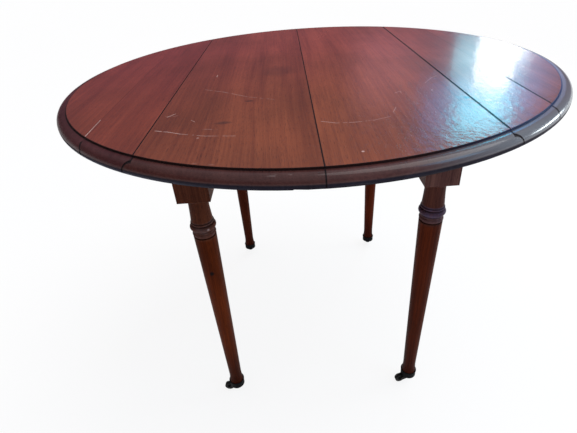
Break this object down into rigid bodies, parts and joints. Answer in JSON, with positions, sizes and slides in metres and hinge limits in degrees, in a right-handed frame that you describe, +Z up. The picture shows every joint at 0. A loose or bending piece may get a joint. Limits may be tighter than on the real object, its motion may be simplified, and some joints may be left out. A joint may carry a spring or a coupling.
{
  "type": "drop-leaf table",
  "caption": "Round drop-leaf table with rule-jointed leaves, a middle that pulls apart on wooden slides, swinging brackets and turned legs on casters.",
  "frame": {"origin": "on the floor under the middle of the round top, with both leaves raised and the halves closed", "axes": "+Z up; +Y along the boards and joints, from the front to the back; +X to the right, the way the right half pulls out"},
  "size_m": [1.0668, 1.067, 0.762],
  "materials": {
    "top_wood": "glossy old varnish, reddish brown, worn at the joints",
    "leg_wood": "satin old varnish, orange brown",
    "frame_wood": "thin old stain, dull",
    "inner_wood": "bare, aged",
    "hinge_steel": "dull, darkened",
    "pin_steel": "worn bare",
    "cup_steel": "dark, dull",
    "caster_iron": "dark, greasy",
    "wheel_iron": "dark, scuffed on the tread"
  },
  "bodies": {
    "left_half": {"left_top": "top_wood", "alignment_dowels": "inner_wood", "left_hinge_short_plates": "hinge_steel", "left_hinge_pins": "pin_steel", "left_short_plate_screws": "pin_steel", "front_left_apron": "frame_wood", "back_left_apron": "frame_wood", "left_side_rail": "frame_wood", "left_corner_braces": "inner_wood", "front_left_leg": "leg_wood", "back_left_leg": "leg_wood", "left_knuckle_block": "frame_wood", "left_bracket_pin": "pin_steel", "front_left_slide": "inner_wood", "back_left_slide": "inner_wood", "front_left_cup": "cup_steel", "back_left_cup": "cup_steel"},
    "right_half": {"right_top": "top_wood", "right_hinge_short_plates": "hinge_steel", "right_hinge_pins": "pin_steel", "right_short_plate_screws": "pin_steel", "front_right_apron": "frame_wood", "back_right_apron": "frame_wood", "right_side_rail": "frame_wood", "right_corner_braces": "inner_wood", "front_right_leg": "leg_wood", "back_right_leg": "leg_wood", "right_knuckle_block": "frame_wood", "right_bracket_pin": "pin_steel", "front_right_slide": "inner_wood", "back_right_slide": "inner_wood", "front_right_cup": "cup_steel", "back_right_cup": "cup_steel"},
    "middle_slides": {"front_middle_slide": "inner_wood", "back_middle_slide": "inner_wood"},
    "left_leaf": {"left_leaf_inner_board": "top_wood", "left_leaf_outer_board": "top_wood", "left_hinge_long_plates": "hinge_steel", "left_long_plate_screws": "pin_steel"},
    "right_leaf": {"right_leaf_inner_board": "top_wood", "right_leaf_outer_board": "top_wood", "right_hinge_long_plates": "hinge_steel", "right_long_plate_screws": "pin_steel"},
    "left_bracket_arm": {"left_bracket": "frame_wood"},
    "right_bracket_arm": {"right_bracket": "frame_wood"},
    "front_left_caster": {"front_left_fork": "caster_iron", "front_left_axle": "pin_steel"},
    "front_left_roller": {"front_left_wheel": "wheel_iron"},
    "front_right_caster": {"front_right_fork": "caster_iron", "front_right_axle": "pin_steel"},
    "front_right_roller": {"front_right_wheel": "wheel_iron"},
    "back_left_caster": {"back_left_fork": "caster_iron", "back_left_axle": "pin_steel"},
    "back_left_roller": {"back_left_wheel": "wheel_iron"},
    "back_right_caster": {"back_right_fork": "caster_iron", "back_right_axle": "pin_steel"},
    "back_right_roller": {"back_right_wheel": "wheel_iron"}
  },
  "joints": [
    {"name": "halves_slide", "type": "slide", "parent": "left_half", "child": "right_half", "axis": [1, 0, 0], "range_m": [0, 0.508]},
    {"name": "middle_slides_run", "type": "slide", "parent": "left_half", "child": "middle_slides", "axis": [1, 0, 0], "range_m": [0, 0.254]},
    {"name": "left_leaf_hinge", "type": "hinge", "parent": "left_half", "child": "left_leaf", "pos_m": [-0.271, 0, 0.7415], "axis": [0, -1, 0], "range_deg": [0, 90]},
    {"name": "left_bracket_swing", "type": "hinge", "parent": "left_half", "child": "left_bracket_arm", "pos_m": [-0.2475, 0.2445, 0.69], "axis": [0, 0, 1], "range_deg": [-90, 0]},
    {"name": "right_leaf_hinge", "type": "hinge", "parent": "right_half", "child": "right_leaf", "pos_m": [0.271, 0, 0.7415], "axis": [0, 1, 0], "range_deg": [0, 90]},
    {"name": "right_bracket_swing", "type": "hinge", "parent": "right_half", "child": "right_bracket_arm", "pos_m": [0.2475, -0.2445, 0.69], "axis": [0, 0, 1], "range_deg": [-90, 0]},
    {"name": "front_left_swivel", "type": "hinge", "parent": "left_half", "child": "front_left_caster", "pos_m": [-0.229, -0.3, 0.0196], "axis": [0, 0, 1], "continuous": true},
    {"name": "front_left_roll", "type": "hinge", "parent": "front_left_caster", "child": "front_left_roller", "pos_m": [-0.25191, -0.298, 0.012], "axis": [-0.0872, -0.9962, 0], "continuous": true},
    {"name": "front_right_swivel", "type": "hinge", "parent": "right_half", "child": "front_right_caster", "pos_m": [0.229, -0.3, 0.0196], "axis": [0, 0, 1], "continuous": true},
    {"name": "front_right_roll", "type": "hinge", "parent": "front_right_caster", "child": "front_right_roller", "pos_m": [0.20635, -0.30399, 0.012], "axis": [0.1736, -0.9848, 0], "continuous": true},
    {"name": "back_left_swivel", "type": "hinge", "parent": "left_half", "child": "back_left_caster", "pos_m": [-0.229, 0.3, 0.0196], "axis": [0, 0, 1], "continuous": true},
    {"name": "back_left_roll", "type": "hinge", "parent": "back_left_caster", "child": "back_left_roller", "pos_m": [-0.23299, 0.32265, 0.012], "axis": [-0.9848, -0.1736, 0], "continuous": true},
    {"name": "back_right_swivel", "type": "hinge", "parent": "right_half", "child": "back_right_caster", "pos_m": [0.229, 0.3, 0.0196], "axis": [0, 0, 1], "continuous": true},
    {"name": "back_right_roll", "type": "hinge", "parent": "back_right_caster", "child": "back_right_roller", "pos_m": [0.23495, 0.32222, 0.012], "axis": [-0.9659, 0.2588, 0], "continuous": true}
  ],
  "couplings": [
    {"joint": "middle_slides_run", "follows": "halves_slide", "ratio": 0.5}
  ]
}
